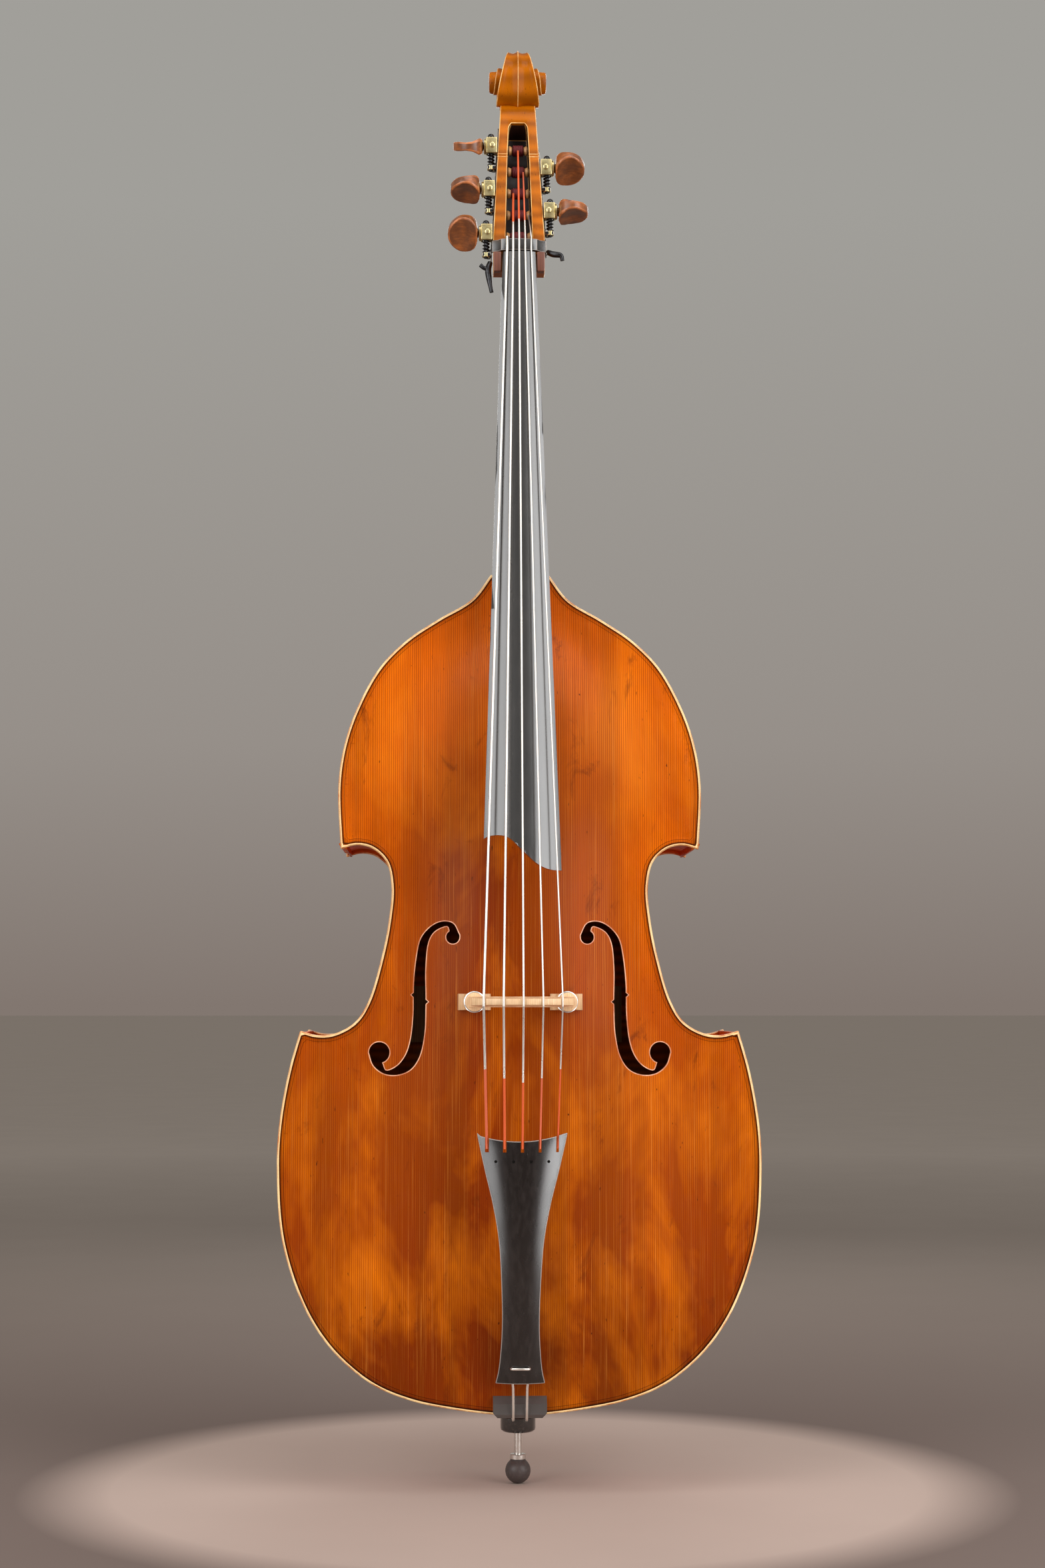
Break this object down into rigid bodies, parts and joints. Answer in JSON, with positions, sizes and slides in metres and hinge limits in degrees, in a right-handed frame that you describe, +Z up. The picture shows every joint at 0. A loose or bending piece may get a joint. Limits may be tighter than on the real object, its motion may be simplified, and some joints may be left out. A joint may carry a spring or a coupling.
{
  "type": "double bass",
  "caption": "Double bass with viol-shaped body, S-shaped sound holes, fretless fingerboard, adjustable bridge, geared tuning machines with broad wooden keys, and a retractable endpin.",
  "frame": {"origin": "on the endpin's axis, at the lowest edge of the body and half way through its depth, where a stand's cradle carries the instrument", "axes": "+Z up along the neck, the front with the strings faces -Y, +X to the right seen from the front"},
  "size_m": [0.654, 0.3918, 2.0358],
  "materials": {
    "varnished_spruce": "gloss varnish",
    "varnished_maple": "gloss varnish",
    "head_maple": "gloss varnish",
    "bare_wood": "bare",
    "bridge_maple": "bare, fine sanded",
    "ebony": "satin",
    "key_wood": "polished",
    "brass": "aged satin",
    "black_steel": "blackened",
    "aluminium": "turned",
    "string_steel": "wound steel",
    "black_gloss": "gloss",
    "rubber": "matte"
  },
  "bodies": {
    "instrument": {"top_plate": "varnished_spruce", "back_plate": "varnished_maple", "rib_lower_L": "varnished_maple", "rib_lower_R": "varnished_maple", "rib_waist_L": "varnished_maple", "rib_waist_R": "varnished_maple", "rib_upper_L": "varnished_maple", "rib_upper_R": "varnished_maple", "neck": "head_maple", "head": "head_maple", "corner_block_lower_L": "bare_wood", "corner_block_lower_R": "bare_wood", "corner_block_upper_L": "bare_wood", "corner_block_upper_R": "bare_wood", "neck_block": "bare_wood", "end_block": "bare_wood", "bass_bar": "bare_wood", "back_brace": "bare_wood", "soundpost": "bare_wood", "bridge_foot_L": "bridge_maple", "bridge_foot_R": "bridge_maple", "fingerboard": "ebony", "nut": "ebony", "tailpiece": "ebony", "saddle": "ebony", "machine_plate_L": "black_steel", "machine_plate_R": "black_steel", "gear_housing_1": "brass", "gear_housing_2": "brass", "gear_housing_3": "brass", "gear_housing_4": "brass", "gear_housing_5": "brass", "string_1": "string_steel", "string_2": "string_steel", "string_3": "string_steel", "string_4": "string_steel", "string_5": "string_steel", "tail_wire": "string_steel", "endpin_socket": "black_gloss"},
    "bridge": {"bridge_crown": "bridge_maple"},
    "endpin": {"endpin_rod": "aluminium", "endpin_ball": "rubber"},
    "endpin_clamp": {"endpin_screw": "aluminium"},
    "bridge_wheel_L": {"adjuster_L": "aluminium"},
    "bridge_wheel_R": {"adjuster_R": "aluminium"},
    "tuning_key_1": {"key_1": "key_wood"},
    "tuning_worm_1": {"worm_1": "black_steel"},
    "tuning_roller_1": {"roller_1": "brass"},
    "tuning_key_2": {"key_2": "key_wood"},
    "tuning_worm_2": {"worm_2": "black_steel"},
    "tuning_roller_2": {"roller_2": "brass"},
    "tuning_key_3": {"key_3": "key_wood"},
    "tuning_worm_3": {"worm_3": "black_steel"},
    "tuning_roller_3": {"roller_3": "brass"},
    "tuning_key_4": {"key_4": "key_wood"},
    "tuning_worm_4": {"worm_4": "black_steel"},
    "tuning_roller_4": {"roller_4": "brass"},
    "tuning_key_5": {"key_5": "key_wood"},
    "tuning_worm_5": {"worm_5": "black_steel"},
    "tuning_roller_5": {"roller_5": "brass"}
  },
  "joints": [
    {"name": "key_turn_1", "type": "hinge", "parent": "instrument", "child": "tuning_key_1", "pos_m": [-0.05905, 0.0025, 1.775], "axis": [1, 0, 0], "continuous": true},
    {"name": "worm_turn_1", "type": "hinge", "parent": "instrument", "child": "tuning_worm_1", "pos_m": [-0.03905, 0.0025, 1.775], "axis": [0, 0, 1], "continuous": true},
    {"name": "roller_turn_1", "type": "hinge", "parent": "instrument", "child": "tuning_roller_1", "pos_m": [0, 0.0205, 1.775], "axis": [1, 0, 0], "continuous": true},
    {"name": "key_turn_2", "type": "hinge", "parent": "instrument", "child": "tuning_key_2", "pos_m": [0.06091, -0.008, 1.74], "axis": [1, 0, 0], "continuous": true},
    {"name": "worm_turn_2", "type": "hinge", "parent": "instrument", "child": "tuning_worm_2", "pos_m": [0.04091, -0.008, 1.74], "axis": [0, 0, 1], "continuous": true},
    {"name": "roller_turn_2", "type": "hinge", "parent": "instrument", "child": "tuning_roller_2", "pos_m": [0, 0.01, 1.74], "axis": [1, 0, 0], "continuous": true},
    {"name": "key_turn_3", "type": "hinge", "parent": "instrument", "child": "tuning_key_3", "pos_m": [-0.06276, -0.0185, 1.705], "axis": [1, 0, 0], "continuous": true},
    {"name": "worm_turn_3", "type": "hinge", "parent": "instrument", "child": "tuning_worm_3", "pos_m": [-0.04276, -0.0185, 1.705], "axis": [0, 0, 1], "continuous": true},
    {"name": "roller_turn_3", "type": "hinge", "parent": "instrument", "child": "tuning_roller_3", "pos_m": [0, -0.0005, 1.705], "axis": [1, 0, 0], "continuous": true},
    {"name": "key_turn_4", "type": "hinge", "parent": "instrument", "child": "tuning_key_4", "pos_m": [0.06462, -0.029, 1.67], "axis": [1, 0, 0], "continuous": true},
    {"name": "worm_turn_4", "type": "hinge", "parent": "instrument", "child": "tuning_worm_4", "pos_m": [0.04462, -0.029, 1.67], "axis": [0, 0, 1], "continuous": true},
    {"name": "roller_turn_4", "type": "hinge", "parent": "instrument", "child": "tuning_roller_4", "pos_m": [0, -0.011, 1.67], "axis": [1, 0, 0], "continuous": true},
    {"name": "key_turn_5", "type": "hinge", "parent": "instrument", "child": "tuning_key_5", "pos_m": [-0.06648, -0.0395, 1.635], "axis": [1, 0, 0], "continuous": true},
    {"name": "worm_turn_5", "type": "hinge", "parent": "instrument", "child": "tuning_worm_5", "pos_m": [-0.04648, -0.0395, 1.635], "axis": [0, 0, 1], "continuous": true},
    {"name": "roller_turn_5", "type": "hinge", "parent": "instrument", "child": "tuning_roller_5", "pos_m": [0, -0.0215, 1.635], "axis": [1, 0, 0], "continuous": true},
    {"name": "bridge_height", "type": "slide", "parent": "instrument", "child": "bridge", "axis": [0, -1, 0], "range_m": [-0.003, 0.004], "deforming": ["string_1", "string_2", "string_3", "string_4", "string_5"]},
    {"name": "bridge_wheel_turn_L", "type": "hinge", "parent": "bridge", "child": "bridge_wheel_L", "pos_m": [-0.062, -0.1525, 0.552], "axis": [0, -1, 0], "range_deg": [-725, 965]},
    {"name": "bridge_wheel_turn_R", "type": "hinge", "parent": "bridge", "child": "bridge_wheel_R", "pos_m": [0.062, -0.1525, 0.552], "axis": [0, -1, 0], "range_deg": [-725, 965]},
    {"name": "endpin_slide", "type": "slide", "parent": "instrument", "child": "endpin", "axis": [0, 0, -1], "range_m": [-0.03, 0.18]},
    {"name": "endpin_clamp_turn", "type": "hinge", "parent": "instrument", "child": "endpin_clamp", "pos_m": [0, 0.032, -0.022], "axis": [0, 1, 0], "continuous": true}
  ],
  "couplings": [
    {"joint": "worm_turn_1", "follows": "key_turn_1", "ratio": 1},
    {"joint": "roller_turn_1", "follows": "key_turn_1", "ratio": -0.055556},
    {"joint": "worm_turn_2", "follows": "key_turn_2", "ratio": -1},
    {"joint": "roller_turn_2", "follows": "key_turn_2", "ratio": -0.055556},
    {"joint": "worm_turn_3", "follows": "key_turn_3", "ratio": 1},
    {"joint": "roller_turn_3", "follows": "key_turn_3", "ratio": -0.055556},
    {"joint": "worm_turn_4", "follows": "key_turn_4", "ratio": -1},
    {"joint": "roller_turn_4", "follows": "key_turn_4", "ratio": -0.055556},
    {"joint": "worm_turn_5", "follows": "key_turn_5", "ratio": 1},
    {"joint": "roller_turn_5", "follows": "key_turn_5", "ratio": -0.055556},
    {"joint": "bridge_wheel_turn_L", "follows": "bridge_height", "rad_per_m": 4188.8},
    {"joint": "bridge_wheel_turn_R", "follows": "bridge_height", "rad_per_m": 4188.8}
  ]
}
